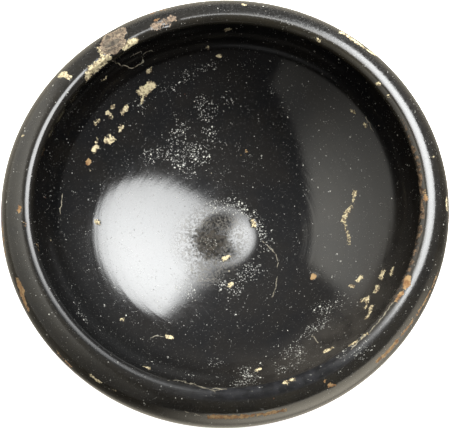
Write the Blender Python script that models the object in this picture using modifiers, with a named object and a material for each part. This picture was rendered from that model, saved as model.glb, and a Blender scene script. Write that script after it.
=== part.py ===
"""A small black-gloss pottery dish: a round hollow, an incurving rim and a ring foot, thrown in one piece.

It stands on the XY plane, +Z up, with its turning axis on Z. The units are metres.
"""

import math

import bpy
from mathutils import Matrix, Vector

OBJECT_NAME = "pottery_dish"

# Body
BODY_RADIUS = 0.0450  # outside, at the widest point of the shoulder
HEIGHT = 0.0330  # from the standing ring to the crest of the rim
SHOULDER_WALL = 0.0052  # wall between the widest points outside and inside
FLOOR_WALL = 0.0046  # floor, on the axis

# Rim
LIP_WIDTH = 0.0063  # from the widest point outside in to the edge of the mouth
CREST_SETBACK = 0.0048  # from the widest point outside in to the crest
LIP_FALL = 0.0012  # from the crest down to the edge of the mouth
SHOULDER_DROP = 0.0054  # from the crest down to the widest point outside
HOLLOW_DROP = 0.0040  # from the crest down to the widest point inside

# Low swelling left in the middle of the floor
BOSS_HEIGHT = 0.0006
BOSS_RADIUS = 0.0072

# Ring foot
FOOT_RADIUS = 0.0290  # outside edge of the foot
FOOT_HEIGHT = 0.0045  # from the standing ring up to the groove over the foot
FOOT_FLARE = 0.0012  # how far the foot's edge stands out past the groove
FOOT_RING = 0.0046  # width of the foot, across its underside
FOOT_RECESS = 0.0036  # depth of the hollow inside the foot
FOOT_EDGE = 0.0007  # radius of the worn edges of the standing ring
GROOVE = 0.0008  # radius of the groove where the foot meets the bowl
BELLY_CENTRE = 0.0120  # radius where the belly, carried on past the foot, would run level

# Facets
TURN_STEPS = 96  # round the axis
HOLLOW_STEPS = 12
OVERHANG_STEPS = 3
LIP_STEPS = 3
SHOULDER_STEPS = 5
BELLY_STEPS = 8
GROOVE_STEPS = 4
EDGE_STEPS = 2
BOSS_STEPS = 3
FLAKE_SEGMENTS = 12
FLAKE_RINGS = 6

# Flakes lost from the rim: name, bearing from +X in degrees, place across the rim (0 is the crest,
# 1 the widest point outside, -1 the edge of the mouth), length along the rim, breadth and depth
FLAKES = (
    ("scar", 123.5, 0.22, 0.0068, 0.0060, 0.0005),
    ("bite", 132.5, -0.75, 0.0064, 0.0018, 0.0004),
    ("graze", 108.0, -0.10, 0.0050, 0.0022, 0.0003),
)

# A screw ends on its own first edge, and its ends on the axis close up
MERGE_DISTANCE = 0.00001

GLOSS_COLOUR = (0.013, 0.012, 0.011, 1.0)
GLOSS_ROUGHNESS = 0.2

CREST_RADIUS = BODY_RADIUS - CREST_SETBACK
MOUTH_RADIUS = BODY_RADIUS - LIP_WIDTH
HOLLOW_RADIUS = BODY_RADIUS - SHOULDER_WALL
HOLLOW_LEVEL = HEIGHT - HOLLOW_DROP
SHOULDER_LEVEL = HEIGHT - SHOULDER_DROP
MOUTH_LEVEL = HEIGHT - LIP_FALL
FLOOR_LEVEL = FOOT_RECESS + FLOOR_WALL
WAIST_RADIUS = FOOT_RADIUS - FOOT_FLARE


def quarter(centre, reach, rise, steps, first=0.0, last=90.0):
    """Points of a quarter ellipse about centre, from the angle first to the angle last.

    The angles are in degrees from the point straight over the centre. A negative reach or rise
    turns the quarter over.
    """
    points = []
    for i in range(steps + 1):
        angle = math.radians(first + (last - first) * i / steps)
        across = reach * math.sin(angle)
        along = rise * math.cos(angle)
        points.append(Vector((centre[0] + across, 0, centre[1] + along)))
    return points


def arc(centre, radius, start, end, steps):
    """Points of a round arc, with its angles in degrees from +X towards +Z."""
    points = []
    for i in range(steps + 1):
        angle = math.radians(start + (end - start) * i / steps)
        points.append(Vector((
            centre[0] + radius * math.cos(angle),
            0,
            centre[1] + radius * math.sin(angle),
        )))
    return points


def hollow():
    """From the middle of the floor out over its boss and up to the widest point inside."""
    points = []
    depth = FLOOR_LEVEL - HOLLOW_LEVEL
    for i in range(BOSS_STEPS):
        radius = BOSS_RADIUS * i / BOSS_STEPS
        swell = BOSS_HEIGHT * (1 + math.cos(math.pi * i / BOSS_STEPS)) / 2
        along = math.sqrt(1 - (radius / HOLLOW_RADIUS) ** 2)
        points.append(Vector((radius, 0, HOLLOW_LEVEL + depth * along + swell)))
    bowl = quarter((0, HOLLOW_LEVEL), HOLLOW_RADIUS, depth, HOLLOW_STEPS)
    return points + [point for point in bowl if point.x > BOSS_RADIUS]


def overhang():
    """From the widest point inside up and in to the edge of the mouth, as a soft S."""
    points = []
    for i in range(1, OVERHANG_STEPS + 1):
        share = i / OVERHANG_STEPS
        blend = share * share * (3 - 2 * share)
        points.append(Vector((
            HOLLOW_RADIUS + (MOUTH_RADIUS - HOLLOW_RADIUS) * blend,
            0,
            HOLLOW_LEVEL + (MOUTH_LEVEL - HOLLOW_LEVEL) * share,
        )))
    return points


def lip():
    """From the edge of the mouth up to the crest."""
    reach = MOUTH_RADIUS - CREST_RADIUS
    return quarter((CREST_RADIUS, MOUTH_LEVEL), reach, LIP_FALL, LIP_STEPS, 90, 0)


def shoulder():
    """From the crest out and down to the widest point outside."""
    reach = BODY_RADIUS - CREST_RADIUS
    return quarter((CREST_RADIUS, SHOULDER_LEVEL), reach, SHOULDER_DROP, SHOULDER_STEPS)


def belly():
    """From the widest point outside down and in to the groove over the foot."""
    reach = BODY_RADIUS - BELLY_CENTRE
    last = math.asin((WAIST_RADIUS - BELLY_CENTRE) / reach)
    fall = (FOOT_HEIGHT + GROOVE - SHOULDER_LEVEL) / math.cos(last)
    return quarter((BELLY_CENTRE, SHOULDER_LEVEL), reach, fall, BELLY_STEPS, 90, math.degrees(last))


def foot():
    """The groove, the foot's side, its flat standing ring with worn edges, and its hollow."""
    inner = FOOT_RADIUS - FOOT_RING
    points = arc((WAIST_RADIUS, FOOT_HEIGHT), GROOVE, 90, 270, GROOVE_STEPS)
    points += arc((FOOT_RADIUS - FOOT_EDGE, FOOT_EDGE), FOOT_EDGE, 0, -90, EDGE_STEPS)
    points += arc((inner + FOOT_EDGE, FOOT_EDGE), FOOT_EDGE, -90, -180, EDGE_STEPS)
    points.append(Vector((inner - FOOT_FLARE, 0, FOOT_RECESS)))
    points.append(Vector((0, 0, FOOT_RECESS)))
    return points


def outline():
    """Half of the dish's section: up the inside, over the rim, down the outside and under the foot."""
    points = []
    for stretch in (hollow(), overhang(), lip(), shoulder(), belly(), foot()):
        if points and (stretch[0] - points[-1]).length < MERGE_DISTANCE:
            stretch = stretch[1:]
        points += stretch
    return points


def rim_place(share):
    """A point across the rim and the way that its surface faces there."""
    stretch = lip()[::-1] if share < 0 else shoulder()
    centre = Vector((CREST_RADIUS, 0, SHOULDER_LEVEL))
    place = abs(share) * (len(stretch) - 1)
    i = min(int(place), len(stretch) - 2)
    point = stretch[i].lerp(stretch[i + 1], place - i)
    along = (stretch[i + 1] - stretch[i]).normalized()
    facing = Vector((-along.z, 0, along.x))
    if facing.dot(point - centre) < 0:
        facing.negate()
    return point, facing


def clear_scene():
    for item in list(bpy.data.objects):
        bpy.data.objects.remove(item, do_unlink=True)


def new_collection(name):
    collection = bpy.data.collections.new(name)
    bpy.context.scene.collection.children.link(collection)
    return collection


def gloss_material():
    material = bpy.data.materials.new("black_gloss_slip")
    material.use_nodes = True
    shader = material.node_tree.nodes["Principled BSDF"]
    shader.inputs["Base Color"].default_value = GLOSS_COLOUR
    shader.inputs["Roughness"].default_value = GLOSS_ROUGHNESS
    shader.inputs["Metallic"].default_value = 0.0
    return material


def make_flake(name, bearing, share, length, breadth, depth, collection):
    """A flat ellipsoid centred on the rim's surface, which cuts one shallow flake away."""
    bpy.ops.mesh.primitive_uv_sphere_add(segments=FLAKE_SEGMENTS, ring_count=FLAKE_RINGS, radius=1)
    flake = bpy.context.object
    flake.name = f"flake_{name}"
    point, facing = rim_place(share)
    across = Vector((0, 1, 0)).cross(facing)
    axes = Matrix((across, Vector((0, 1, 0)), facing)).transposed().to_4x4()
    size = Matrix.Diagonal((breadth / 2, length / 2, depth, 1))
    turn = Matrix.Rotation(math.radians(bearing), 4, "Z")
    flake.data.transform(turn @ Matrix.Translation(point) @ axes @ size)
    flake.hide_render = True
    flake.display_type = "WIRE"
    for holder in flake.users_collection:
        holder.objects.unlink(flake)
    collection.objects.link(flake)


def make_dish(parts, cutters):
    """The whole pot: its section turned once round the axis, less the flakes."""
    points = outline()
    edges = [(i, i + 1) for i in range(len(points) - 1)]
    mesh = bpy.data.meshes.new("dish")
    mesh.from_pydata(points, edges, [])
    dish = bpy.data.objects.new("dish", mesh)
    parts.objects.link(dish)
    mesh.materials.append(gloss_material())

    turning = dish.modifiers.new("turning", "SCREW")
    turning.axis = "Z"
    turning.angle = 2 * math.pi
    turning.steps = TURN_STEPS
    turning.render_steps = TURN_STEPS
    turning.use_merge_vertices = True
    turning.merge_threshold = MERGE_DISTANCE
    turning.use_smooth_shade = True

    flaking = dish.modifiers.new("flakes", "BOOLEAN")
    flaking.operation = "DIFFERENCE"
    flaking.operand_type = "COLLECTION"
    flaking.collection = cutters
    flaking.solver = "EXACT"
    return dish


def main():
    clear_scene()
    parts = new_collection(OBJECT_NAME)
    cutters = new_collection("cutters")
    for name, bearing, share, length, breadth, depth in FLAKES:
        make_flake(name, bearing, share, length, breadth, depth, cutters)
    make_dish(parts, cutters)


main()
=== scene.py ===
"""Looks of a small black-gloss pottery dish: worn slip, a flaked rim and lime crusts from the ground.

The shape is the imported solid's own section, turned again with a fine mesh. Lengths are in metres, and
names that end in _MM hold millimetres. Pixel coordinates are in the photograph's frame, 450 x 428.
"""

import math

import bpy
import numpy as np
from mathutils import Matrix, Vector, noise


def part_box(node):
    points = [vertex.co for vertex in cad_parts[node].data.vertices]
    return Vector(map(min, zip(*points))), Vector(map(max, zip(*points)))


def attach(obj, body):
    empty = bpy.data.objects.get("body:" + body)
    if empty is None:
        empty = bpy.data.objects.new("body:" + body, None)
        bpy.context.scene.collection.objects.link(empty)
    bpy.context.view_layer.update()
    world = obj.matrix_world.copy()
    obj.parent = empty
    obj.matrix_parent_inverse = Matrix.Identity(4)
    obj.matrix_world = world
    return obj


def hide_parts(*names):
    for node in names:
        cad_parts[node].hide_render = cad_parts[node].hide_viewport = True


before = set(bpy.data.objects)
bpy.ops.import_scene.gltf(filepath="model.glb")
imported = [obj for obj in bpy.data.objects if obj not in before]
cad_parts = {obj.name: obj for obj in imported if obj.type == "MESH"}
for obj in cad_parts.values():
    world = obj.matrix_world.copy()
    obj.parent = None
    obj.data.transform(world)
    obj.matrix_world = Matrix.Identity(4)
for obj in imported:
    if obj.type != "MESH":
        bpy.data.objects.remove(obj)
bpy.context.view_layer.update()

MM = 0.001
NODE = "dish"

# Section of the dish. The overall width and height come from the frame.
node_low, node_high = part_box(NODE)
BODY_RADIUS = (node_high.x - node_low.x) / 2
HEIGHT = node_high.z
SHOULDER_WALL = 0.0052
FLOOR_WALL = 0.0046
LIP_WIDTH = 0.0066
CREST_SETBACK = 0.0049
LIP_FALL = 0.0015
SHOULDER_DROP = 0.0054
HOLLOW_DROP = 0.0040
BOSS_HEIGHT = 0.0006
BOSS_RADIUS = 0.0072
FOOT_RADIUS = 0.0290
FOOT_HEIGHT = 0.0045
FOOT_FLARE = 0.0012
FOOT_RING = 0.0046
FOOT_RECESS = 0.0036
FOOT_EDGE = 0.0007
GROOVE = 0.0008
BELLY_CENTRE = 0.0120
# The mouth was thrown a little off the middle: the rim is wider at the left than at the right
MOUTH_SHIFT = 0.0004

CREST_RADIUS = BODY_RADIUS - CREST_SETBACK
MOUTH_RADIUS = BODY_RADIUS - LIP_WIDTH
HOLLOW_RADIUS = BODY_RADIUS - SHOULDER_WALL
HOLLOW_LEVEL = HEIGHT - HOLLOW_DROP
SHOULDER_LEVEL = HEIGHT - SHOULDER_DROP
MOUTH_LEVEL = HEIGHT - LIP_FALL
FLOOR_LEVEL = FOOT_RECESS + FLOOR_WALL
WAIST_RADIUS = FOOT_RADIUS - FOOT_FLARE

# Facets of the fine mesh
TURN_STEPS = 440
BOSS_STEPS = 18
HOLLOW_STEPS = 112
OVERHANG_STEPS = 10
LIP_STEPS = 8
SHOULDER_STEPS = 22
BELLY_STEPS = 26
GROOVE_STEPS = 6
EDGE_STEPS = 3
FOOT_STEPS = 3  # on each short straight stretch of the foot
RECESS_STEPS = 14
MERGE_DISTANCE = 0.000001
SHARP_ANGLE = 50

# Camera, as the photograph was taken
PHOTO_WIDTH = 450
PHOTO_HEIGHT = 428
SENSOR = 36.0
LENS = 158.16
CAMERA_ELEVATION = 70.6
CAMERA_AZIMUTH = 4.0
CAMERA_DISTANCE = 0.3983
CAMERA_TARGET = Vector((0.00006, -0.001083, 0.026))

# Lights. The key is a round soft box overhead, hottest in its middle. A straight flag cuts its far left
# side: it faces along FLAG_FACING, FLAG_REACH from the middle, and its edge is softer at the near end.
KEY_PLACE = Vector((0.168, 0.233, 0.400))
KEY_SIZE = 0.450
KEY_LUMINANCE = 22.0
KEY_FALL = 0.38
KEY_COLOUR = (0.985, 1.0, 1.0)
# Where the round face starts to fade and ends: squared distances from its middle, in widths of the face
KEY_EDGE = (0.225, 0.25)
FLAG_FACING = Vector((0.888, -0.460, 0.0))
FLAG_REACH = -0.109
FLAG_BLUR_NEAR = 0.040
FLAG_BLUR_FAR = 0.014
FLAG_HALF_SPAN = 0.25  # in widths of the face, from the middle to where each blur holds
# The side light is a tall pale board at the left, brightest near its far end, dimmer towards the near end
SIDE_PLACE = Vector((-0.200, -0.075, 0.234))
SIDE_WIDTH = 0.650
SIDE_HEIGHT = 0.440
SIDE_LUMINANCE = 2.6
SIDE_COLOUR = (1.0, 0.975, 0.89)
SIDE_FADE = (-0.12, 0.20)
SIDE_NEAR_SHARE = 0.16
# Its soft edges, and its dimmer foot: places from its middle, where -0.5 and 0.5 are its ends
SIDE_FAR_EDGE = -0.46
SIDE_TOP_EDGE = 0.38
SIDE_FULL_HEIGHT = 0.25
SIDE_FOOT_SHARE = 0.5

# Surroundings: broad soft lobes of light. Azimuth in degrees from +Y towards +X, elevation, strength,
# and the cosine at which the lobe begins.
WORLD_BASE = 0.10
WALLS = {
    "back": (5, 12, 0.40, 0.0),
    "ceiling": (10, 75, 0.27, 0.7),
    "right": (110, 45, 0.20, 0.4),
}
TABLE = {
    "front_right": (146, -8, 3.0, 0.45),
    "under_right": (140, -50, 0.5, 0.45),
    "back": (-15, -35, 0.75, 0.3),
    "left": (-80, -20, 0.22, 0.6),
}
# The table's light ends at the horizon, between these heights of a direction, and is a little warm
TABLE_EDGE = (-0.02, 0.10)
TABLE_TINT = "#FFF6E2"
FLOOR_SIZE = 8.0

# Flakes cut from the rim: bearing from +X in degrees, place across the rim (0 is the crest, 1 the
# widest point outside, -1 the edge of the mouth), length along the rim, breadth and depth
FLAKES = {
    "scar": (123.5, 0.22, 0.0068, 0.0060, 0.0005),
    "bite": (132.5, -0.75, 0.0064, 0.0018, 0.0004),
    "graze": (108.0, -0.10, 0.0050, 0.0022, 0.0003),
}
BREAK_GRAIN = 0.9 * MM  # size and height of the grain in a flake's bed
BREAK_RELIEF = 0.10 * MM

# The worn middle of the floor, the worn stretch on the viewer's side of it, and its pitted heart
GRAINED_PLACE = (-0.0030, -0.0008)
GRAINED_RADIUS = 0.0100
GRAINED_SIDE_PLACE = (-0.0044, -0.0072)
GRAINED_SIDE_RADIUS = 0.0052
PITTED_PLACE = (-0.0034, -0.0013)
PITTED_RADIUS = 0.0056

# Wear that follows the form, each kind as its least share and what it gains towards its own side. A
# side is a bearing in degrees from +X towards +Y, and how far it spreads to each side.
WORN_SHARES = (0.10, 0.80)
WORN_SIDE = (-5, 34)
WORN_BAND = (0.0005, 0.0006)  # out from the edge of the mouth, and half the width of the band
RING_WORN = (0.0006, 0.0014)  # heights between which the wear of the standing ring ends
RUBBED_SHARES = (0.30, 0.60)
RUBBED_SIDE = (90, 72)
RUBBED_BAND = (0.0022, 0.0018)  # out from the crest, and half the width of the band
FILM_SHARES = (0.10, 0.35)
FILM_SIDES = ((180, 65), (-68, 40))
LIP_FILM_SHARES = (0.15, 0.55)
LIP_FILM_SIDE = (35, 85)
WALL_START = (0.025, 0.033)  # radii between which the floor turns into the wall
WALL_SHARE = 0.9
DUSTY_SIDE = (-50, 42)
# Painted shade on the near-left wall: a dark, low-gloss stretch that hides a reflection there
PAINTED_WALL_SHADE_SIDE = (-138, 42)
# Painted shade on the near lip: a dark, low-gloss stretch that hides the key light's highlight there
PAINTED_LIP_SHADE_SIDE = (-76, 24)
PAINTED_LIP_SHADE_END = (0.0009, 0.0020)  # from the crest to where the painted shade on the near lip starts to end and has ended
PAINTED_LIP_SHADE_GAIN = 1.6  # these two sharpen the ends of the painted shade on the near lip
PAINTED_LIP_SHADE_LOSS = 0.3
CORE = 0.45  # share of a round worn place's radius within which it is worn in full
SIDE_CORE = 0.4
PITTED_CORE = 0.2

# How marks are read on the mesh
MARK_REACH_MM = 1.5  # outside a mark, its depth is told down to this
CRUMB_REACH_MM = 1.0
LINE_FAR_MM = 3.0  # what stands for far from any line
SAME_SIDE = 0.3  # least cosine between a place's facing and a mark's, for the mark to reach it
NO_LENGTH = 1e-18  # stands for the squared length of a spot's way, which is 0

# Relief of the marks in the mesh, with the depths inside a mark between which it comes up
LIME_PROUD_MM = 0.10
LIME_RAMP = (-0.1, 0.5)
CLAY_DEEP_MM = 0.07
CLAY_RAMP = (-0.1, 0.2)

# Patterns. Names that end in _MM are sizes or lengths, and the rest are shares.
TEAR_MM = 1.3
NIBBLE_MM = 0.36
MARK_EDGE = {"From Min": -0.04, "From Max": 0.08}  # depths between which a mark comes to show
WHEEL_MM = 2.2
SKIN_MM = 0.30
PITS_MM = 1.1
PITS_CLOSER = 0.26  # what the heart adds to the noise, so that more pits pass there
PITS_LEAST = 0.02
SPARSE_SHARE = 0.6  # coarse crumbs to fine ones
BEND_MM = 1.1  # length of a line's bends
LINE_WANDER_MM = 0.9  # how far a line wanders, from one side to the other
LINE_EDGE_MM = (0.05, 0.14)  # a line is whole within the first, and gone past the second
LINE_REACH_MM = 0.45
LIME_SPREAD_MM = 0.08
LIME_DEPTH_SHARE = 0.7  # how much a crust lightens and thickens with each mm inside it
# A noise texture stays within about NOISE_REACH of its middle
NOISE_MIDDLE = 0.5
NOISE_REACH = 0.2
SPECK_EDGE = 0.3  # soft share of a speck's radius
FAINTEST_SPECK = 0.25

# Marks on the surface. Each has a radius in mm and the photograph's points that its middle runs
# through, so a single point is a round spot.
LIME = {
    "crust": (0.95, ((141, 91), (146, 91), (151, 86))),
    "crust_tail": (0.2, ((143, 97), (141, 102))),
    "above_crust": (0.4, ((148, 72), (150, 70))),
    "oval": (0.42, ((104.7, 78.6),)),
    "yellow_oval": (0.5, ((122.5, 111.5), (126, 108.5))),
    "grey_ring": (0.42, ((112.6, 106),)),
    "under_ring": (0.42, ((107.5, 112.5), (111, 115.5))),
    "left_bit": (0.4, ((96, 123), (98, 121))),
    "middle_bit": (0.5, ((120, 129), (122.5, 127))),
    "cross": (0.55, ((107, 140), (113, 140))),
    "cross_top": (0.35, ((110, 137), (110.5, 142))),
    "lower": (0.5, ((94, 150), (96, 147))),
    "lower_tip": (0.22, ((96, 143), (97.5, 139))),
    "rim_flake_low": (0.7, ((88, 77.5), (91, 72.5))),
    "rim_flake_mid": (1.05, ((93, 70), (99, 66))),
    "rim_flake_top": (0.75, ((99, 66), (106, 61.5))),
    "scar_left_edge": (0.36, ((98.5, 48), (101.5, 54), (103, 59))),
    "scar_foot": (0.5, ((103, 59), (110, 58))),
    "scar_blob": (0.7, ((130, 43.5), (134, 41.5))),
    "scar_blob_low": (0.35, ((124, 50), (129, 46.5))),
    "outer_patch": (0.66, ((60, 75.5), (64, 74.5))),
    "outer_patch_tip": (0.4, ((66, 75), (69, 77))),
    "streak_top": (0.3, ((354.5, 191), (353, 200), (350, 209))),
    "streak_mid": (0.4, ((348, 211), (345, 216), (343, 220))),
    "streak_low": (0.24, ((344, 223), (347, 229), (348.5, 236), (348.5, 244))),
    "right_oval": (0.42, ((382.5, 272), (381, 278))),
    "right_oval_outer": (0.36, ((392.5, 269), (391, 274))),
    "right_drop": (0.36, ((377.5, 286), (375, 292))),
    "right_fork": (0.32, ((362, 300.5), (368, 298.5), (367.5, 303))),
    "right_fork_tail": (0.22, ((367, 304), (364.5, 309))),
    "right_long": (0.34, ((371.5, 307), (369, 313), (367, 318))),
    "right_bit": (0.36, ((358.5, 280.5), (361, 277.5))),
    "right_crumbs": (0.22, ((350, 285.5), (353.5, 286.5))),
    "low_dash": (0.36, ((325.5, 351), (332.5, 348))),
    "white_dot": (0.42, ((258.7, 369.4),)),
    "centre_cluster": (0.4, ((252.5, 220), (254.5, 226))),
    "centre_yellow": (0.28, ((224, 258.5), (229.5, 256.5))),
    "centre_low": (0.3, ((229, 285.5), (232, 284))),
    "left_of_glare": (0.5, ((97.5, 222),)),
    "wall_dash": (0.2, ((146, 367), (149.5, 368.6))),
    "floor_dash": (0.26, ((167, 336.6), (171, 337.4))),
    "lip_dot": (0.3, ((319, 40.3),)),
    "lip_crumb": (0.3, ((378.5, 83.3), (380, 84.6))),
    "lip_crumb_low": (0.22, ((388.5, 96),)),
    "shoulder_dot": (0.28, ((433.8, 157),)),
    "wall_bit": (0.3, ((352, 110.5), (354.5, 112))),
    "wall_streak": (0.2, ((363.5, 122), (366, 126))),
    "upper_shoulder": (0.55, ((342, 32.5), (350, 37.5), (358, 43))),
    "upper_shoulder_end": (0.3, ((362, 46), (368, 50.5), (375, 55))),
    "upper_spot": (0.24, ((218, 55.8), (220.5, 56))),
    "upper_dash": (0.18, ((206, 45.5), (208.5, 48))),
    "lip_under": (0.36, ((226, 30), (230.5, 28.8))),
    "lip_top_bit": (0.22, ((242, 4), (246, 4.8))),
    "left_yellow": (0.36, ((121.5, 319), (123.5, 321))),
    "low_edge_a": (0.18, ((90, 374.5), (94, 377.5))),
    "low_edge_b": (0.2, ((98, 380.5), (101, 382))),
    "low_edge_c": (0.2, ((113.5, 390), (115, 391))),
    "right_edge": (0.28, ((446.7, 197), (447, 209))),
    "left_spot": (0.3, ((23.5, 135),)),
    "low_lip_a": (0.2, ((349, 345.5), (357, 341))),
    "low_lip_b": (0.16, ((361, 339), (368, 333))),
    "lip_dash": (0.2, ((285, 382.4), (295, 379.6))),
}

CLAY = {
    "left_long": (0.55, ((17, 280), (20, 289), (24, 300), (27.5, 309))),
    "left_long_head": (0.75, ((18.5, 284), (22, 292))),
    "low_left_line": (0.25, ((53.5, 347.5), (61, 356.5), (71, 366.5))),
    "bottom": (0.5, ((209, 416.8), (225, 417.3), (245, 416.5))),
    "bottom_right": (0.4, ((247, 416.4), (265, 414), (285, 410.5))),
    "right_low": (0.5, ((378, 360), (385, 355), (391, 348.5), (398, 340))),
    "right_low_thin": (0.2, ((398, 340), (412, 322), (423, 305), (432, 288), (439, 270))),
    "lip_patch": (0.75, ((407.5, 279), (405.5, 286))),
    "lip_patch_low": (0.4, ((401, 293), (396, 300))),
    "lip_top": (0.3, ((424.5, 190), (425.5, 200))),
    "low_dots": (0.26, ((325.4, 381),)),
    "low_dots_b": (0.32, ((328.5, 385), (334, 385.5))),
    "orange_oval": (0.5, ((312, 277.5), (314, 275.8))),
    "orange_dot": (0.3, ((240.8, 154.5),)),
    "orange_dot_side": (0.16, ((245.5, 151), (247, 152))),
    "orange_left": (0.4, ((88, 163.5), (88.8, 159.5))),
    "left_edge": (0.3, ((2.2, 222), (3.2, 240), (5.5, 256))),
    "left_bit": (0.4, ((19.6, 210), (20.6, 206))),
    "left_bit_low": (0.25, ((25, 222), (25.6, 225))),
    "graze_side": (0.26, ((152, 13.2), (160, 10.4), (168, 8.8))),
    "top_rust": (0.22, ((155, 20.5), (159, 19))),
    "hook": (0.14, ((37, 244.5), (39.5, 247), (38.5, 250.5))),
    "small_right": (0.18, ((320.8, 193),)),
}

SCAR = {
    "left": (0.9, ((102.5, 51), (103.5, 43), (108, 35))),
    "middle": (1.5, ((108, 44), (116, 40))),
    "upper": (0.9, ((104, 40), (113, 34.5), (122, 30))),
    "lower": (1.0, ((108, 51), (116, 47.5), (121, 42))),
    "right": (0.7, ((122, 34), (121.5, 43))),
}

GRAZE = {
    "patch": (0.7, ((155, 26), (163, 22), (172, 18))),
}

# Clusters of whitish crumbs, broken up by a fine pattern
CRUMBS = {
    "upper": (1.9, ((203, 104), (207, 112))),
    "upper_right": (0.9, ((226, 98), (230, 101))),
    "ridge": (1.0, ((172, 140), (177, 133), (184, 127))),
    "low_ridge": (1.4, ((147, 157), (158, 153), (170, 150))),
    "middle": (2.5, ((182, 158), (190, 152), (197, 153))),
    "middle_low": (1.2, ((184, 168), (190, 172))),
    "near_right": (1.1, ((207, 132), (212, 138))),
    "smear_low": (1.2, ((308, 332), (316, 326), (326, 320))),
    "smear_high": (0.9, ((317, 311), (321, 305))),
    "smear_left": (1.3, ((288, 353), (296, 348), (299, 355))),
    "smear_bottom": (1.0, ((282, 369), (290, 366), (297, 364))),
    "smear_right": (0.9, ((322, 311), (332, 306), (340, 300))),
    "bottom_left": (0.4, ((77, 304), (80, 313), (86, 321))),
    "under_floor": (0.7, ((211, 361), (216, 363))),
    "centre_ring": (1.0, ((250, 216), (262, 230), (268, 246))),
    "centre_foot": (1.7, ((244, 274), (254, 270))),
    "centre_low": (1.3, ((224, 284), (236, 288))),
    "glare_foot": (1.6, ((184, 286), (188, 292))),
    "glare_right": (1.5, ((214, 206), (226, 204), (238, 208))),
    "centre_spot": (0.9, ((208, 240), (212, 246))),
    "above_mid": (0.8, ((165, 88), (172, 87))),
    "upper_row": (0.8, ((184, 76), (198, 70), (212, 66))),
    "right_of_lime": (0.9, ((138, 103), (142, 106))),
    "bottom_floor": (1.4, ((246, 372), (252, 380), (238, 384))),
    "rim_dull": (1.1, ((356, 352), (366, 347))),
    "near_lip": (0.7, ((340, 356), (352, 347), (362, 338))),
}

# Thin pale lines, with how strongly each shows: crackle filled with lime, scratches and the edges of
# lost films
LINES = {
    "crackle_a": (1.0, ((109, 58), (113, 61), (118, 63.5), (121.5, 65.5), (127, 66))),
    "crackle_b": (0.8, ((127, 66), (131, 68), (138, 66), (143, 61.5), (143, 57.5))),
    "crackle_c": (0.7, ((143.5, 54.5), (147, 51.5), (151, 51))),
    "crackle_d": (0.9, ((132, 56), (136, 53.5), (140, 52))),
    "left": (0.5, ((62.6, 195), (61.5, 203), (60, 212))),
    "centre_a": (0.35, (
        (263, 242), (268.5, 246.5), (273.5, 251.5), (277, 257), (278.3, 262), (277.6, 267),
    )),
    "centre_b": (0.3, ((277, 278), (276.3, 284), (274.8, 290), (272.6, 296))),
    "low_arc": (0.4, ((152, 337.5), (156, 335), (162, 336.5))),
    "smear_line": (0.4, ((313, 336), (318, 342))),
    "near_arc": (0.3, ((169, 380), (185, 381), (200, 386), (215, 391.5))),
    "near_arc_b": (0.4, ((186, 383), (205, 388), (225, 389))),
    "long_right": (0.5, ((352, 348), (375, 326), (392, 304))),
    "low_dashes": (0.4, ((185, 412), (200, 415.5))),
    "wall_right": (0.4, ((366, 118), (372, 129))),
}


def quarter(centre, reach, rise, steps, first=0.0, last=90.0):
    """Points of a quarter ellipse about centre, from the angle first to the angle last.

    The angles are in degrees from the point straight over the centre. A negative reach or rise
    turns the quarter over.
    """
    points = []
    for i in range(steps + 1):
        angle = math.radians(first + (last - first) * i / steps)
        across = reach * math.sin(angle)
        along = rise * math.cos(angle)
        points.append(Vector((centre[0] + across, 0, centre[1] + along)))
    return points


def boss_height(radius):
    if radius > BOSS_RADIUS:
        return 0.0
    return BOSS_HEIGHT * (1 + math.cos(math.pi * radius / BOSS_RADIUS)) / 2


def hollow():
    """From the middle of the floor, over its low boss, up to the widest point inside."""
    depth = FLOOR_LEVEL - HOLLOW_LEVEL
    points = []
    for i in range(BOSS_STEPS):
        radius = BOSS_RADIUS * i / BOSS_STEPS
        along = math.sqrt(1 - (radius / HOLLOW_RADIUS) ** 2)
        points.append(Vector((radius, 0, HOLLOW_LEVEL + depth * along + boss_height(radius))))
    bowl = quarter((0, HOLLOW_LEVEL), HOLLOW_RADIUS, depth, HOLLOW_STEPS)
    return points + [point for point in bowl if point.x > BOSS_RADIUS]


def overhang():
    """From the widest point inside up and in to the edge of the mouth, as a soft S."""
    points = []
    for i in range(OVERHANG_STEPS + 1):
        share = i / OVERHANG_STEPS
        blend = share * share * (3 - 2 * share)
        across = HOLLOW_RADIUS + (MOUTH_RADIUS - HOLLOW_RADIUS) * blend
        level = HOLLOW_LEVEL + (MOUTH_LEVEL - HOLLOW_LEVEL) * share
        points.append(Vector((across, 0, level)))
    return points


def lip():
    """From the edge of the mouth up to the crest."""
    reach = MOUTH_RADIUS - CREST_RADIUS
    return quarter((CREST_RADIUS, MOUTH_LEVEL), reach, LIP_FALL, LIP_STEPS, 90, 0)


def shoulder():
    """From the crest out and down to the widest point outside."""
    reach = BODY_RADIUS - CREST_RADIUS
    return quarter((CREST_RADIUS, SHOULDER_LEVEL), reach, SHOULDER_DROP, SHOULDER_STEPS)


def belly():
    """From the widest point outside down and in to the groove over the foot."""
    reach = BODY_RADIUS - BELLY_CENTRE
    last = math.asin((WAIST_RADIUS - BELLY_CENTRE) / reach)
    fall = (FOOT_HEIGHT + GROOVE - SHOULDER_LEVEL) / math.cos(last)
    return quarter((BELLY_CENTRE, SHOULDER_LEVEL), reach, fall, BELLY_STEPS, 90, math.degrees(last))


def straight(start, end, steps):
    """Points past start on the straight way to end."""
    return [start.lerp(end, i / steps) for i in range(1, steps + 1)]


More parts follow.
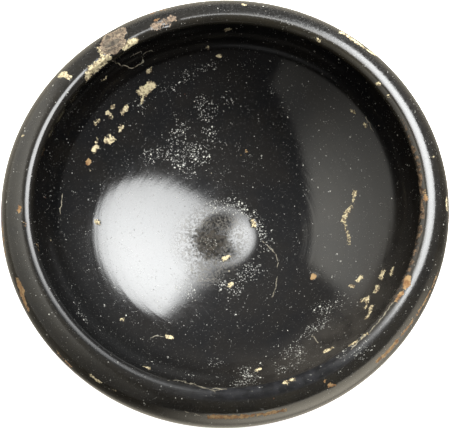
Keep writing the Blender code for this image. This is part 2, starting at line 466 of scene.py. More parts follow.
def foot():
    """The groove, the foot's side, its standing ring with worn edges, and its hollow."""
    inner = FOOT_RADIUS - FOOT_RING
    points = quarter((WAIST_RADIUS, FOOT_HEIGHT), -GROOVE, GROOVE, GROOVE_STEPS)
    points += quarter((WAIST_RADIUS, FOOT_HEIGHT), -GROOVE, -GROOVE, GROOVE_STEPS, 90, 0)[1:]
    outer_edge = quarter((FOOT_RADIUS - FOOT_EDGE, FOOT_EDGE), FOOT_EDGE, -FOOT_EDGE, EDGE_STEPS, 90, 0)
    inner_edge = quarter((inner + FOOT_EDGE, FOOT_EDGE), -FOOT_EDGE, -FOOT_EDGE, EDGE_STEPS)
    points += straight(points[-1], outer_edge[0], FOOT_STEPS)
    points += outer_edge[1:]
    points += straight(points[-1], inner_edge[0], FOOT_STEPS)
    points += inner_edge[1:]
    points += straight(points[-1], Vector((inner - FOOT_FLARE, 0, FOOT_RECESS)), FOOT_STEPS)
    points += straight(points[-1], Vector((0, 0, FOOT_RECESS)), RECESS_STEPS)
    return points


def outline():
    """Half of the dish's section: up the inside, over the rim, down the outside and under the foot."""
    points = []
    for stretch in (hollow(), overhang(), lip(), shoulder(), belly(), foot()):
        if points and (stretch[0] - points[-1]).length < MERGE_DISTANCE:
            stretch = stretch[1:]
        points += stretch
    return points


def turned(name, section):
    """A piece drawn as a line of extruded points, then spun once round the axis."""
    bpy.ops.object.select_all(action="DESELECT")
    bpy.ops.mesh.primitive_plane_add(size=MM)
    piece = bpy.context.object
    piece.name = name
    piece.data.name = name
    bpy.ops.object.mode_set(mode="EDIT")
    bpy.ops.mesh.select_mode(type="VERT")
    bpy.ops.mesh.merge(type="CENTER")
    bpy.ops.transform.translate(value=section[0])
    for start, end in zip(section, section[1:]):
        bpy.ops.mesh.extrude_region_move(TRANSFORM_OT_translate={"value": end - start})
    bpy.ops.mesh.select_all(action="SELECT")
    bpy.ops.mesh.spin(steps=TURN_STEPS, angle=2 * math.pi, center=(0, 0, 0), axis=(0, 0, 1))
    bpy.ops.mesh.select_all(action="SELECT")
    bpy.ops.mesh.remove_doubles(threshold=MERGE_DISTANCE)
    bpy.ops.mesh.normals_make_consistent(inside=False)
    bpy.ops.object.mode_set(mode="OBJECT")
    return piece


def rim_place(share):
    """A point across the rim and the way that its surface faces there."""
    stretch = lip()[::-1] if share < 0 else shoulder()
    centre = Vector((CREST_RADIUS, 0, SHOULDER_LEVEL))
    place = abs(share) * (len(stretch) - 1)
    i = min(int(place), len(stretch) - 2)
    point = stretch[i].lerp(stretch[i + 1], place - i)
    along = (stretch[i + 1] - stretch[i]).normalized()
    facing = Vector((-along.z, 0, along.x))
    if facing.dot(point - centre) < 0:
        facing.negate()
    return point, facing


def points_of(piece):
    """Every vertex's place, and the way that it faces, as two arrays."""
    mesh = piece.data
    places = np.empty(len(mesh.vertices) * 3)
    facings = np.empty(len(mesh.vertices) * 3)
    mesh.vertices.foreach_get("co", places)
    mesh.vertices.foreach_get("normal", facings)
    return places.reshape(-1, 3), facings.reshape(-1, 3)


def press_flake(places, flake):
    """Sinks the surface into one flat ellipsoid's bed, with a slightly rough break."""
    bearing, share, length, breadth, depth = flake
    point, facing = rim_place(share)
    turn = Matrix.Rotation(math.radians(bearing), 3, "Z")
    centre = np.array(turn @ point)
    out = np.array(turn @ facing)
    along = np.array(turn @ Vector((0, 1, 0)))
    across = np.cross(along, out)
    offset = places - centre
    u = offset @ along / (length / 2)
    v = offset @ across / (breadth / 2)
    w = offset @ out
    bed = -depth * np.sqrt(np.clip(1 - u * u - v * v, 0, None))
    cut = (u * u + v * v < 1) & (w > bed) & (w > -2 * depth)
    for i in np.nonzero(cut)[0]:
        grain = noise.noise(Vector(places[i]) / BREAK_GRAIN) * BREAK_RELIEF
        places[i] += out * (bed[i] - w[i] + grain)


def camera_axes():
    """The photograph's camera: its place and its right, up and back."""
    elevation = math.radians(CAMERA_ELEVATION)
    azimuth = math.radians(CAMERA_AZIMUTH)
    back = Vector((
        math.sin(azimuth) * math.cos(elevation),
        -math.cos(azimuth) * math.cos(elevation),
        math.sin(elevation),
    ))
    right = Vector((0, 1, 0)).cross(back).normalized()
    return CAMERA_TARGET + back * CAMERA_DISTANCE, right, back.cross(right), back


def cast(piece, x, y):
    """The point of the piece that a pixel of the photograph shows, and the way it faces."""
    place, right, up, back = camera_axes()
    pixel = SENSOR / LENS / PHOTO_WIDTH
    ray = -back + right * (x - PHOTO_WIDTH / 2) * pixel - up * (y - PHOTO_HEIGHT / 2) * pixel
    hit, point, facing, _ = piece.ray_cast(place, ray.normalized())
    return (np.array(point), np.array(facing)) if hit else None


def steps_between(points, spacing=4.0):
    """The same way through the photograph's points, with more points on its long stretches."""
    way = [points[0]]
    for (x0, y0), (x1, y1) in zip(points, points[1:]):
        count = max(1, round(math.hypot(x1 - x0, y1 - y0) / spacing))
        for i in range(1, count + 1):
            way.append((x0 + (x1 - x0) * i / count, y0 + (y1 - y0) * i / count))
    return way


def stretches(piece, places, facings, points):
    """The straight stretches of a way through the photograph's points, against every vertex.

    For each: whether the vertex faces as it does, the distance in mm and whether it lies to its left.
    """
    way = [found for found in (cast(piece, x, y) for x, y in steps_between(points)) if found]
    if len(way) == 1:
        way = way * 2
    for (start, facing), (end, _) in zip(way, way[1:]):
        run = end - start
        offset = places - start
        share = np.clip(offset @ run / max(run @ run, NO_LENGTH), 0, 1)
        distance = np.linalg.norm(offset - share[:, None] * run, axis=1) / MM
        yield facings @ facing > SAME_SIDE, distance, offset @ np.cross(facing, run) > 0


def depth_in_marks(piece, places, facings, marks, reach_mm=MARK_REACH_MM):
    """How far inside the nearest mark each vertex is, in mm, and negative outside, down to -reach_mm."""
    deepest = np.full(len(places), -reach_mm)
    for radius, points in marks.values():
        for same_side, distance, _ in stretches(piece, places, facings, points):
            deepest = np.maximum(deepest, np.where(same_side, radius - distance, -reach_mm))
    return deepest


def beside_lines(piece, places, facings, lines):
    """How each vertex lies to the nearest line: how far to its side, signed, how near, and its strength.

    The lengths are in mm. The signed distance runs straight through 0 at a line, so a line thinner than
    a facet stays whole.
    """
    side = np.full(len(places), LINE_FAR_MM)
    nearest = np.full(len(places), LINE_FAR_MM)
    strongest = np.zeros(len(places))
    for strength, points in lines.values():
        for same_side, distance, left in stretches(piece, places, facings, points):
            nearer = same_side & (distance < nearest)
            side[nearer] = np.where(left, distance, -distance)[nearer]
            nearest[nearer] = distance[nearer]
            strongest[nearer] = strength
    return side, nearest, strongest


def store(piece, name, values):
    attribute = piece.data.attributes.new(name, "FLOAT", "POINT")
    attribute.data.foreach_set("value", values.astype(np.float32))


def ease(values, low, high):
    """0 below low, 1 above high and a smooth step between."""
    share = np.clip((values - low) / (high - low), 0, 1)
    return share * share * (3 - 2 * share)


def around(bearing, side):
    """1 at a side's own bearing, fading over about its spread to each side."""
    middle, spread = side
    away = (bearing - middle + 180) % 360 - 180
    return np.exp(-(away / spread) ** 2)


def band(radius, start, measures):
    """1 on a ring that lies measures[0] past start, fading over about measures[1] to each side."""
    return np.exp(-((radius - start - measures[0]) / measures[1]) ** 2)


def spot(places, place, radius, core):
    """1 in the core of a round worn place, fading to 0 at its radius."""
    aside = np.hypot(places[:, 0] - place[0], places[:, 1] - place[1])
    return 1 - ease(aside, core * radius, radius)


def wear_zones(places, facings):
    """Shares, over the whole dish, of the kinds of wear that follow its form, and of two stretches of
    painted shade.
    """
    radius = np.hypot(places[:, 0], places[:, 1])
    level = places[:, 2]
    bearing = np.degrees(np.arctan2(places[:, 1], places[:, 0]))
    inside = (facings[:, 2] > 0) & (radius < CREST_RADIUS) & (level > FOOT_RECESS + MM)
    upper = level > HEIGHT / 2
    outside = ~inside & (radius > CREST_RADIUS - MM)
    inner_lip = (radius < CREST_RADIUS) & (level > HOLLOW_LEVEL)
    low = inside & ~upper

    worn = band(radius, MOUTH_RADIUS, WORN_BAND) * (level > HOLLOW_LEVEL)
    worn = worn * (WORN_SHARES[0] + WORN_SHARES[1] * around(bearing, WORN_SIDE))
    worn = np.maximum(worn, 1 - ease(level, *RING_WORN))
    rubbed = band(radius, CREST_RADIUS, RUBBED_BAND) * upper
    rubbed = rubbed * (RUBBED_SHARES[0] + RUBBED_SHARES[1] * around(bearing, RUBBED_SIDE))
    grained = np.maximum(
        spot(places, GRAINED_PLACE, GRAINED_RADIUS, CORE),
        spot(places, GRAINED_SIDE_PLACE, GRAINED_SIDE_RADIUS, SIDE_CORE),
    )
    film = FILM_SHARES[0] + FILM_SHARES[1] * np.maximum(*(around(bearing, side) for side in FILM_SIDES))
    lip_film = LIP_FILM_SHARES[0] + LIP_FILM_SHARES[1] * around(bearing, LIP_FILM_SIDE)
    wall = inside * ease(radius, *WALL_START) * WALL_SHARE
    # Painted shade on the near lip, where its highlight is hidden
    painted_lip_shade = (1 - ease(np.abs(radius - CREST_RADIUS), *PAINTED_LIP_SHADE_END)) * upper * around(bearing, PAINTED_LIP_SHADE_SIDE) ** 0.5
    return {
        "worn": worn,
        "rubbed": rubbed,
        "grained": grained * low,
        "pitted": spot(places, PITTED_PLACE, PITTED_RADIUS, PITTED_CORE) * low,
        "film": np.clip(np.maximum(film * outside, lip_film * inner_lip), 0, 1),
        "dusty": wall * around(bearing, DUSTY_SIDE),
        # Painted shade on the near-left wall
        "painted_wall_shade": wall * around(bearing, PAINTED_WALL_SHADE_SIDE),
        "painted_lip_shade": np.clip(PAINTED_LIP_SHADE_GAIN * painted_lip_shade - PAINTED_LIP_SHADE_LOSS, 0, 1),
    }


def off_middle(places):
    """How far each vertex moves for the mouth to lie off the middle.

    The inside of the rim moves all of the way, and the floor and the widest point outside stay.
    """
    radius = np.hypot(places[:, 0], places[:, 1])
    level = places[:, 2]
    outer = 1 - ease(radius, CREST_RADIUS, BODY_RADIUS)
    upper = ease(level, HEIGHT / 2, HOLLOW_LEVEL)
    moves = np.zeros(places.shape)
    moves[:, 0] = MOUTH_SHIFT * outer * upper
    return moves


def move_points(piece, places):
    piece.data.vertices.foreach_set("co", places.ravel())
    piece.data.update()


def make_dish():
    piece = turned("black_gloss_dish", outline())
    round_places = points_of(piece)[0]
    moves = off_middle(round_places)
    move_points(piece, round_places + moves)
    bpy.context.view_layer.update()
    places, facings = points_of(piece)
    fields = {
        "lime": depth_in_marks(piece, places, facings, LIME),
        "clay": depth_in_marks(piece, places, facings, CLAY),
        "scar": depth_in_marks(piece, places, facings, SCAR),
        "graze": depth_in_marks(piece, places, facings, GRAZE),
        "crumbs": depth_in_marks(piece, places, facings, CRUMBS, CRUMB_REACH_MM),
    }
    lines = beside_lines(piece, places, facings, LINES)
    fields["line_side"], fields["line_near"], fields["line_strength"] = lines
    fields.update(wear_zones(round_places, facings))
    for name, values in fields.items():
        store(piece, name, values)
    for flake in FLAKES.values():
        press_flake(round_places, flake)
    proud_mm = LIME_PROUD_MM * ease(fields["lime"], *LIME_RAMP)
    proud_mm = proud_mm - CLAY_DEEP_MM * ease(fields["clay"], *CLAY_RAMP)
    move_points(piece, round_places + moves + facings * proud_mm[:, None] * MM)
    bpy.ops.object.select_all(action="DESELECT")
    piece.select_set(True)
    bpy.context.view_layer.objects.active = piece
    bpy.ops.object.shade_smooth_by_angle(angle=math.radians(SHARP_ANGLE))
    piece.data.materials.clear()
    piece.data.materials.append(black_gloss())
    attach(piece, "root")
    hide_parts(NODE)


def linear(colour):
    """A #rrggbb colour as the linear values that a shader takes."""
    parts = [int(colour[i:i + 2], 16) / 255 for i in (1, 3, 5)]
    parts = [part / 12.92 if part <= 0.04045 else ((part + 0.055) / 1.055) ** 2.4 for part in parts]
    return (*parts, 1.0)


def add(tree, kind, inputs=None, output=0, **settings):
    """Adds a node with its settings, links or sets its inputs, and gives back one of its outputs."""
    made = tree.nodes.new(kind)
    for name, value in settings.items():
        setattr(made, name, value)
    for key, value in (inputs or {}).items():
        if isinstance(value, bpy.types.NodeSocket):
            tree.links.new(value, made.inputs[key])
        elif isinstance(value, str):
            made.inputs[key].default_value = linear(value)
        else:
            made.inputs[key].default_value = value
    return made.outputs[output]


def patches(tree, place, size_mm, low=0.38, high=0.62, least=0.0, most=1.0):
    """Soft patches about size_mm across, from least to most, with finer ones within them."""
    grain = {"Vector": place, "Scale": 1 / size_mm, "Detail": 4, "Roughness": 0.6}
    cloud = add(tree, "ShaderNodeTexNoise", grain)
    limits = {"Value": cloud, "From Min": low, "From Max": high, "To Min": least, "To Max": most}
    return add(tree, "ShaderNodeMapRange", limits, interpolation_type="SMOOTHSTEP")


def mottled(tree, place, size_mm, dark, light):
    """A colour that wanders between two tones."""
    share = patches(tree, place, size_mm)
    return add(tree, "ShaderNodeMix", {0: share, 6: dark, 7: light}, 2, data_type="RGBA")


def ragged(tree, place, name, tear_mm, nibble_mm):
    """How far inside the named marks a place is, in mm, with torn and nibbled edges."""
    depth = add(tree, "ShaderNodeAttribute", output="Fac", attribute_name=name)
    for size_mm, reach_mm in ((TEAR_MM, tear_mm), (NIBBLE_MM, nibble_mm)):
        grain = {"Vector": place, "Scale": 1 / size_mm, "Detail": 3, "Roughness": 0.6}
        cloud = add(tree, "ShaderNodeTexNoise", grain)
        gain = reach_mm / NOISE_REACH
        values = {0: cloud, 1: gain, 2: -NOISE_MIDDLE * gain}
        tear = add(tree, "ShaderNodeMath", values, operation="MULTIPLY_ADD")
        depth = add(tree, "ShaderNodeMath", {0: depth, 1: tear}, operation="ADD")
    return depth


def specks(tree, place, cell_mm, radius_mm, share):
    """Round specks of uneven strength, at most one to a cell, in the given share of the cells."""
    cells = {"Vector": place, "Scale": 1 / cell_mm}
    away = add(tree, "ShaderNodeTexVoronoi", cells, "Distance", feature="F1")
    draw = add(tree, "ShaderNodeSeparateColor", {"Color": away.node.outputs["Color"]}, "Red")
    picked = add(tree, "ShaderNodeMath", {0: draw, 1: share}, operation="LESS_THAN")
    least = radius_mm / cell_mm / 2
    sizes = {0: draw.node.outputs["Green"], 1: least, 2: least}
    reach = add(tree, "ShaderNodeMath", sizes, operation="MULTIPLY_ADD")
    inside = add(tree, "ShaderNodeMath", {0: reach, 1: away}, operation="SUBTRACT")
    dot = add(tree, "ShaderNodeMapRange", {"Value": inside, "From Max": SPECK_EDGE * radius_mm / cell_mm})
    limits = {"Value": draw.node.outputs["Blue"], "To Min": FAINTEST_SPECK}
    strength = add(tree, "ShaderNodeMapRange", limits)
    dot = add(tree, "ShaderNodeMath", {0: dot, 1: strength}, operation="MULTIPLY")
    return add(tree, "ShaderNodeMath", {0: dot, 1: picked}, operation="MULTIPLY")


def lay_over(tree, finish, cover, colour, roughness, gloss=None):
    """Covers the finish with another colour, roughness and, if given, gloss where cover is 1."""
    colours = {0: cover, 6: finish["colour"], 7: colour}
    finish["colour"] = add(tree, "ShaderNodeMix", colours, 2, data_type="RGBA")
    numbers = {0: cover, 2: finish["roughness"], 3: roughness}
    finish["roughness"] = add(tree, "ShaderNodeMix", numbers, 0, data_type="FLOAT")
    if gloss is not None:
        numbers = {0: cover, 2: finish["gloss"], 3: gloss}
        finish["gloss"] = add(tree, "ShaderNodeMix", numbers, 0, data_type="FLOAT")


def raise_by(tree, finish, cover, height_mm):
    """Adds relief to the finish: height_mm where cover is 1."""
    values = {0: cover, 1: height_mm, 2: finish["height"]}
    finish["height"] = add(tree, "ShaderNodeMath", values, operation="MULTIPLY_ADD")


def slip_wear(tree, place, finish):
    """Wear of the glassy skin: thin films, the rubbed rim and the pitted middle; and painted shade on the
    near lip and wall.
    """
    names = ("film", "dusty", "painted_wall_shade", "painted_lip_shade", "rubbed", "worn", "grained", "pitted")
    zone = {name: add(tree, "ShaderNodeAttribute", output="Fac", attribute_name=name) for name in names}

    uneven = patches(tree, place, 4.5, low=0.3, high=0.6, least=0.5)
    thin = add(tree, "ShaderNodeMath", {0: zone["film"], 1: uneven}, operation="MULTIPLY")
    lay_over(tree, finish, thin, "#2A261C", roughness=0.22)
    thin = add(tree, "ShaderNodeMath", {0: zone["dusty"], 1: uneven}, operation="MULTIPLY")
    lay_over(tree, finish, thin, "#35322E", roughness=0.30, gloss=0.22)
    # Painted shade: a dark, low-gloss stretch of the near-left wall, which hides a reflection there
    lay_over(tree, finish, zone["painted_wall_shade"], "#0F0F0F", roughness=0.26, gloss=0.16)
    # Painted shade: a dark, nearly unglossy stretch of the near lip, which hides the key light's highlight
    # there
    tone = mottled(tree, place, 1.6, "#151516", "#222224")
    lay_over(tree, finish, zone["painted_lip_shade"], tone, roughness=0.40, gloss=0.05)

    grain = patches(tree, place, 0.45, low=0.35, high=0.65)
    dulled = add(tree, "ShaderNodeMath", {0: zone["rubbed"], 1: grain}, operation="MULTIPLY")
    lay_over(tree, finish, dulled, "#232220", roughness=0.34)
    raise_by(tree, finish, dulled, height_mm=0.012)

    torn = patches(tree, place, 1.2, low=0.36, high=0.60)
    edge = add(tree, "ShaderNodeMath", {0: zone["worn"], 1: torn}, operation="MULTIPLY")
    edge = add(tree, "ShaderNodeMapRange", {"Value": edge, "From Min": 0.34, "From Max": 0.6})
    tone = mottled(tree, place, 0.7, "#2B1F15", "#6E5A45")
    lay_over(tree, finish, edge, tone, roughness=0.6, gloss=0.2)

    # Fine pits, drawn 0.5 mm across to show, and coarser ones that lie closer together towards the heart
    fine = patches(tree, place, 0.5, low=0.42, high=0.60)
    fine = add(tree, "ShaderNodeMath", {0: zone["grained"], 1: fine}, operation="MULTIPLY")
    tone = mottled(tree, place, 2.2, "#33302B", "#4D4942")
    lay_over(tree, finish, fine, tone, roughness=0.24, gloss=0.28)
    grain = {"Vector": place, "Scale": 1 / PITS_MM, "Detail": 5, "Roughness": 0.7}
    cloud = add(tree, "ShaderNodeTexNoise", grain)
    values = {0: zone["pitted"], 1: PITS_CLOSER, 2: cloud}
    cloud = add(tree, "ShaderNodeMath", values, operation="MULTIPLY_ADD")
    pits = add(tree, "ShaderNodeMapRange", {"Value": cloud, "From Min": 0.58, "From Max": 0.72})
    some = add(tree, "ShaderNodeMath", {0: zone["pitted"], 1: PITS_LEAST}, operation="GREATER_THAN")
    pits = add(tree, "ShaderNodeMath", {0: pits, 1: some}, operation="MULTIPLY")
    tone = mottled(tree, place, 0.6, "#12100E", "#3B362F")
    lay_over(tree, finish, pits, tone, roughness=0.36, gloss=0.10)
    raise_by(tree, finish, pits, height_mm=-0.018)


def ground_dirt(tree, place, finish):
    """Dust, lime crumbs and rust specks from the ground, caught all over the skin."""
    # Real dust is finer: its specks are drawn 0.1 mm across and more, so that they show
    faint = specks(tree, place, cell_mm=0.30, radius_mm=0.12, share=0.60)
    lay_over(tree, finish, faint, "#2D2C2A", roughness=0.30)
    dusty = patches(tree, place, 7, low=0.35, high=0.65, least=0.02, most=0.20)
    dust = specks(tree, place, cell_mm=0.42, radius_mm=0.13, share=dusty)
    lay_over(tree, finish, dust, "#53514C", roughness=0.7)
    grit = specks(tree, place, cell_mm=1.7, radius_mm=0.18, share=0.20)
    lay_over(tree, finish, grit, "#6E6B62", roughness=0.8)
    lime = specks(tree, place, cell_mm=3.6, radius_mm=0.30, share=0.17)
    lay_over(tree, finish, lime, "#857B63", roughness=0.8)
    rust = specks(tree, place, cell_mm=4.6, radius_mm=0.28, share=0.12)
    lay_over(tree, finish, rust, "#7A4B30", roughness=0.8)

    crumbs = ragged(tree, place, "crumbs", tear_mm=0.9, nibble_mm=0.3)
    limits = {"Value": crumbs, "From Min": -0.7, "From Max": 0.8, "To Max": 0.88}
    dense = add(tree, "ShaderNodeMapRange", limits)
    fine = specks(tree, place, cell_mm=0.31, radius_mm=0.16, share=dense)
    lay_over(tree, finish, fine, "#8E8D88", roughness=0.85)
    sparse = add(tree, "ShaderNodeMath", {0: dense, 1: SPARSE_SHARE}, operation="MULTIPLY")
    coarse = specks(tree, place, cell_mm=0.62, radius_mm=0.25, share=sparse)
    lay_over(tree, finish, coarse, "#B0AFA6", roughness=0.85)

    # Scratches and crackle wander a little to each side, and come and go
    side = add(tree, "ShaderNodeAttribute", output="Fac", attribute_name="line_side")
    wander = add(tree, "ShaderNodeTexNoise", {"Vector": place, "Scale": 1 / BEND_MM, "Detail": 3})
    side = add(tree, "ShaderNodeMath", {0: wander, 1: LINE_WANDER_MM, 2: side}, operation="MULTIPLY_ADD")
    side = add(tree, "ShaderNodeMath", {0: side, 1: LINE_WANDER_MM / 2}, operation="SUBTRACT")
    width = add(tree, "ShaderNodeMath", {0: side}, operation="ABSOLUTE")
    whole, gone = LINE_EDGE_MM
    limits = {"Value": width, "From Min": whole, "From Max": gone, "To Min": 1, "To Max": 0}
    line = add(tree, "ShaderNodeMapRange", limits)
    near = add(tree, "ShaderNodeAttribute", output="Fac", attribute_name="line_near")
    near = add(tree, "ShaderNodeMath", {0: near, 1: LINE_REACH_MM}, operation="LESS_THAN")
    line = add(tree, "ShaderNodeMath", {0: line, 1: near}, operation="MULTIPLY")
    broken = patches(tree, place, 0.9, high=0.52, least=0.1)
    line = add(tree, "ShaderNodeMath", {0: line, 1: broken}, operation="MULTIPLY")
    strength = add(tree, "ShaderNodeAttribute", output="Fac", attribute_name="line_strength")
    line = add(tree, "ShaderNodeMath", {0: line, 1: strength}, operation="MULTIPLY")
    lay_over(tree, finish, line, "#B0A792", roughness=0.7)


def losses(tree, place, finish):
    """Bare clay where the slip has come off: red on flakes, greyer in the break on the rim."""
    depth = ragged(tree, place, "clay", tear_mm=0.30, nibble_mm=0.22)
    clay = add(tree, "ShaderNodeMapRange", {"Value": depth, **MARK_EDGE}, interpolation_type="SMOOTHSTEP")
    tone = mottled(tree, place, 0.9, "#6E4E32", "#917855")
    lay_over(tree, finish, clay, tone, roughness=0.85, gloss=0.2)

    depth = ragged(tree, place, "graze", tear_mm=0.6, nibble_mm=0.5)
    graze = add(tree, "ShaderNodeMapRange", {"Value": depth, **MARK_EDGE}, interpolation_type="SMOOTHSTEP")
    lay_over(tree, finish, graze, mottled(tree, place, 0.5, "#2C2722", "#85725F"), roughness=0.85)

    depth = ragged(tree, place, "scar", tear_mm=0.35, nibble_mm=0.15)
    scar = add(tree, "ShaderNodeMapRange", {"Value": depth, **MARK_EDGE}, interpolation_type="SMOOTHSTEP")
    heart = add(tree, "ShaderNodeMapRange", {"Value": depth, "From Min": 0.1, "From Max": 1.0})
    rim_tone = mottled(tree, place, 0.45, "#57463A", "#978771")
    heart_tone = mottled(tree, place, 0.9, "#332D25", "#554D42")
    tone = add(tree, "ShaderNodeMix", {0: heart, 6: rim_tone, 7: heart_tone}, 2, data_type="RGBA")
    lay_over(tree, finish, scar, tone, roughness=0.9)
    grain = patches(tree, place, 0.5, low=0.3, high=0.7)
    grain = add(tree, "ShaderNodeMath", {0: grain, 1: scar}, operation="MULTIPLY")
    raise_by(tree, finish, grain, height_mm=0.10)


def lime_crust(tree, place, finish):
    """Hard cream crust of lime, lumpy and stained."""
    depth = ragged(tree, place, "lime", tear_mm=0.30, nibble_mm=0.26)
    depth = add(tree, "ShaderNodeMath", {0: depth, 1: LIME_SPREAD_MM}, operation="ADD")
    lime = add(tree, "ShaderNodeMapRange", {"Value": depth, **MARK_EDGE}, interpolation_type="SMOOTHSTEP")
    body = patches(tree, place, 0.55, low=0.40, high=0.58)
    body = add(tree, "ShaderNodeMath", {0: depth, 1: LIME_DEPTH_SHARE, 2: body}, operation="MULTIPLY_ADD")
    light = add(tree, "ShaderNodeMapRange", {"Value": body, "From Min": 0.15, "From Max": 1.05})
    tone = add(tree, "ShaderNodeMix", {0: light, 6: "#5A4B37", 7: "#C2B592"}, 2, data_type="RGBA")
    lay_over(tree, finish, lime, tone, roughness=0.9)
    lumps = add(tree, "ShaderNodeMath", {0: body, 1: lime}, operation="MULTIPLY")
    raise_by(tree, finish, lumps, height_mm=0.05)


def black_gloss():
    """Iron-rich clay slip, fired black in a smoky kiln: a glassy skin over red clay, rubbed and pitted.

    It gives deep black with sharp white reflections, which break up where the skin is scratched.
    """
    material = bpy.data.materials.new("black_gloss_slip")
    material.use_nodes = True
    tree = material.node_tree
    shader = tree.nodes["Principled BSDF"]
    metres = add(tree, "ShaderNodeTexCoord", output="Object")
    place = add(tree, "ShaderNodeMapping", {"Vector": metres, "Scale": (1 / MM, 1 / MM, 1 / MM)})

    # Black slip, browner where it was brushed on thin, with fine wheel marks and a faintly grained skin
    across = add(tree, "ShaderNodeMapping", {"Vector": place, "Scale": (1, 1, 0)})
    radius = add(tree, "ShaderNodeVectorMath", {0: across}, "Value", operation="LENGTH")
    rings = {"W": radius, "Scale": 1 / WHEEL_MM, "Detail": 2}
    wheel = add(tree, "ShaderNodeTexNoise", rings, noise_dimensions="1D")
    grain = {"Vector": place, "Scale": 1 / SKIN_MM, "Detail": 2, "Roughness": 0.6}
    skin = add(tree, "ShaderNodeTexNoise", grain)
    finish = {
        "colour": mottled(tree, place, 11, "#060607", "#0E0C0A"),
        "roughness": patches(tree, place, 3.5, low=0.3, high=0.7, least=0.085, most=0.125),
        "gloss": 0.5,
        "height": 0.0,
    }
    raise_by(tree, finish, skin, height_mm=0.005)
    raise_by(tree, finish, wheel, height_mm=0.020)
    slip_wear(tree, place, finish)
    ground_dirt(tree, place, finish)
    losses(tree, place, finish)
    lime_crust(tree, place, finish)

    relief = add(tree, "ShaderNodeBump", {"Height": finish["height"], "Distance": MM, "Strength": 1.0})
    tree.links.new(finish["colour"], shader.inputs["Base Color"])
    tree.links.new(finish["roughness"], shader.inputs["Roughness"])
    tree.links.new(finish["gloss"], shader.inputs["Specular IOR Level"])
    tree.links.new(relief, shader.inputs["Normal"])
    shader.inputs["IOR"].default_value = 1.5
    return material


def towards(azimuth, elevation):
    """A direction: azimuth in degrees from +Y towards +X, and elevation over the horizon."""
    a = math.radians(azimuth)
    e = math.radians(elevation)
    return Vector((math.sin(a) * math.cos(e), math.cos(a) * math.cos(e), math.sin(e)))


def make_floor():
    """A plain pale sheet, not glossy."""
    bpy.ops.object.select_all(action="DESELECT")
    bpy.ops.mesh.primitive_plane_add(size=FLOOR_SIZE)
    floor = bpy.context.object
    floor.name = "floor"
    material = bpy.data.materials.new("matt_paper")
    material.use_nodes = True
    shader = material.node_tree.nodes["Principled BSDF"]
    shader.inputs["Base Color"].default_value = linear("#F4F4F2")
    shader.inputs["Roughness"].default_value = 0.9
    shader.inputs["Specular IOR Level"].default_value = 0.0
    shader.inputs["Emission Color"].default_value = (1.0, 1.0, 1.0, 1.0)
    shader.inputs["Emission Strength"].default_value = 1.0
    floor.data.materials.append(material)
    floor.visible_glossy = False


def area_light(name, place, facing, width, height, luminance, colour):
    """A soft box with a face of the given luminance."""
    data = bpy.data.lights.new(name, "AREA")
    data.shape = "RECTANGLE"
    data.size = width
    data.size_y = height
    data.energy = luminance * math.pi * width * height
    data.color = colour
    data.use_nodes = True
    lamp = bpy.data.objects.new(name, data)
    bpy.context.scene.collection.objects.link(lamp)
    lamp.location = place
    lamp.rotation_mode = "QUATERNION"
    lamp.rotation_quaternion = facing.to_track_quat("-Z", "Y")
    lamp.visible_camera = False
    return lamp


def face_place(tree):
    """Where on a lamp's face a ray leaves it, each way from -0.5 to 0.5."""
    corner = add(tree, "ShaderNodeNewGeometry", output="Parametric")
    return add(tree, "ShaderNodeVectorMath", {0: corner, 1: (0.5, 0.5, 0.0)}, operation="SUBTRACT")


def make_key():
    key = area_light("key", KEY_PLACE, Vector((0, 0, -1)), KEY_SIZE, KEY_SIZE, KEY_LUMINANCE, KEY_COLOUR)
    tree = key.data.node_tree
    middle = face_place(tree)
    reach = add(tree, "ShaderNodeVectorMath", {0: middle, 1: middle}, "Value", operation="DOT_PRODUCT")
    inner, outer = KEY_EDGE
    limits = {"Value": reach, "From Min": inner, "From Max": outer, "To Min": 1, "To Max": 0}
    disc = add(tree, "ShaderNodeMapRange", limits)
    heat = add(tree, "ShaderNodeMath", {0: reach, 1: -4 * KEY_FALL, 2: 1.0}, operation="MULTIPLY_ADD")

    along = Vector((-FLAG_FACING.y, FLAG_FACING.x, 0))
    past = add(tree, "ShaderNodeVectorMath", {0: middle, 1: FLAG_FACING}, "Value", operation="DOT_PRODUCT")
    past = add(tree, "ShaderNodeMath", {0: past, 1: FLAG_REACH / KEY_SIZE}, operation="SUBTRACT")
    way = add(tree, "ShaderNodeVectorMath", {0: middle, 1: along}, "Value", operation="DOT_PRODUCT")
    limits = {
        "Value": way,
        "From Min": -FLAG_HALF_SPAN,
        "From Max": FLAG_HALF_SPAN,
        "To Min": FLAG_BLUR_NEAR / KEY_SIZE,
        "To Max": FLAG_BLUR_FAR / KEY_SIZE,
    }
    blur = add(tree, "ShaderNodeMapRange", limits)
    past = add(tree, "ShaderNodeMath", {0: past, 1: blur}, operation="DIVIDE")
    limits = {"Value": past, "From Min": -1.0, "From Max": 1.0}
    open_side = add(tree, "ShaderNodeMapRange", limits, interpolation_type="SMOOTHSTEP")

    strength = add(tree, "ShaderNodeMath", {0: disc, 1: heat}, operation="MULTIPLY")
    strength = add(tree, "ShaderNodeMath", {0: strength, 1: open_side}, operation="MULTIPLY")
    tree.links.new(strength, tree.nodes["Emission"].inputs["Strength"])


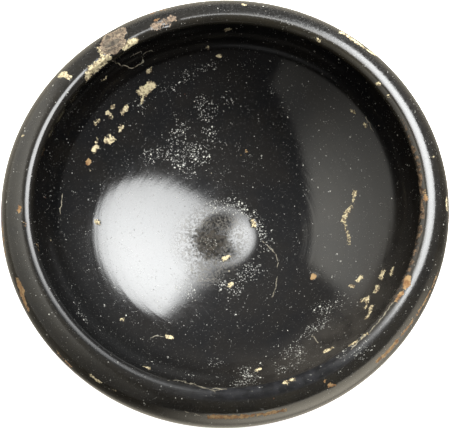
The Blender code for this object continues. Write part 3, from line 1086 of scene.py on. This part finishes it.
def make_side():
    facing = Vector((1, 0, 0))
    side = area_light("side", SIDE_PLACE, facing, SIDE_WIDTH, SIDE_HEIGHT, SIDE_LUMINANCE, SIDE_COLOUR)
    tree = side.data.node_tree
    # The board's own across runs towards the near end
    across = add(tree, "ShaderNodeSeparateXYZ", {0: face_place(tree)}, "X")
    up = across.node.outputs["Y"]
    fades = (
        (across, -SIDE_FADE[1] / SIDE_WIDTH, -SIDE_FADE[0] / SIDE_WIDTH, 1.0, SIDE_NEAR_SHARE),
        (across, -0.5, SIDE_FAR_EDGE, 0.0, 1.0),
        (up, -0.5, SIDE_FULL_HEIGHT, SIDE_FOOT_SHARE, 1.0),
        (up, SIDE_TOP_EDGE, 0.5, 1.0, 0.0),
    )
    strength = 1.0
    for value, low, high, start, end in fades:
        limits = {"Value": value, "From Min": low, "From Max": high, "To Min": start, "To Max": end}
        fade = add(tree, "ShaderNodeMapRange", limits, interpolation_type="SMOOTHSTEP")
        strength = add(tree, "ShaderNodeMath", {0: fade, 1: strength}, operation="MULTIPLY")
    tree.links.new(strength, tree.nodes["Emission"].inputs["Strength"])


def lobes(tree, way, parts):
    """Broad soft lobes of light, each brightest in its own direction."""
    total = 0.0
    for azimuth, elevation, strength, start in parts.values():
        middle = towards(azimuth, elevation)
        facing = add(tree, "ShaderNodeVectorMath", {0: way, 1: middle}, "Value", operation="DOT_PRODUCT")
        limits = {"Value": facing, "From Min": start, "To Max": strength}
        lobe = add(tree, "ShaderNodeMapRange", limits, interpolation_type="SMOOTHSTEP")
        total = add(tree, "ShaderNodeMath", {0: lobe, 1: total}, operation="ADD")
    return total


def make_world():
    """Dim surroundings with a few broad brighter parts, and a bright table below the horizon."""
    world = bpy.data.worlds.new("studio")
    bpy.context.scene.world = world
    world.use_nodes = True
    tree = world.node_tree
    background = tree.nodes["Background"]
    way = add(tree, "ShaderNodeTexCoord", output="Generated")
    level = add(tree, "ShaderNodeSeparateXYZ", {0: way}, "Z")
    low, high = TABLE_EDGE
    limits = {"Value": level, "From Min": low, "From Max": high, "To Min": 1, "To Max": 0}
    below = add(tree, "ShaderNodeMapRange", limits)
    table = add(tree, "ShaderNodeMath", {0: lobes(tree, way, TABLE), 1: below}, operation="MULTIPLY")
    light = add(tree, "ShaderNodeMath", {0: lobes(tree, way, WALLS), 1: table}, operation="ADD")
    light = add(tree, "ShaderNodeMath", {0: light, 1: WORLD_BASE}, operation="ADD")
    # The camera itself sees a pale backdrop
    camera_ray = add(tree, "ShaderNodeLightPath", output="Is Camera Ray")
    strength = add(tree, "ShaderNodeMix", {0: camera_ray, 2: light, 3: 1.0}, 0, data_type="FLOAT")
    tree.links.new(strength, background.inputs["Strength"])
    tint = add(tree, "ShaderNodeMix", {0: below, 6: "#FFFFFF", 7: TABLE_TINT}, 2, data_type="RGBA")
    tree.links.new(tint, background.inputs["Color"])


def make_camera():
    place, right, up, back = camera_axes()
    data = bpy.data.cameras.new("camera")
    data.sensor_width = SENSOR
    data.lens = LENS
    data.clip_start = 0.01
    camera = bpy.data.objects.new("camera", data)
    bpy.context.scene.collection.objects.link(camera)
    camera.location = place
    camera.rotation_mode = "QUATERNION"
    camera.rotation_quaternion = Matrix((right, up, back)).transposed().to_quaternion()
    bpy.context.scene.camera = camera


make_camera()
make_dish()
make_floor()
make_key()
make_side()
make_world()
bpy.context.scene.view_settings.view_transform = "Standard"
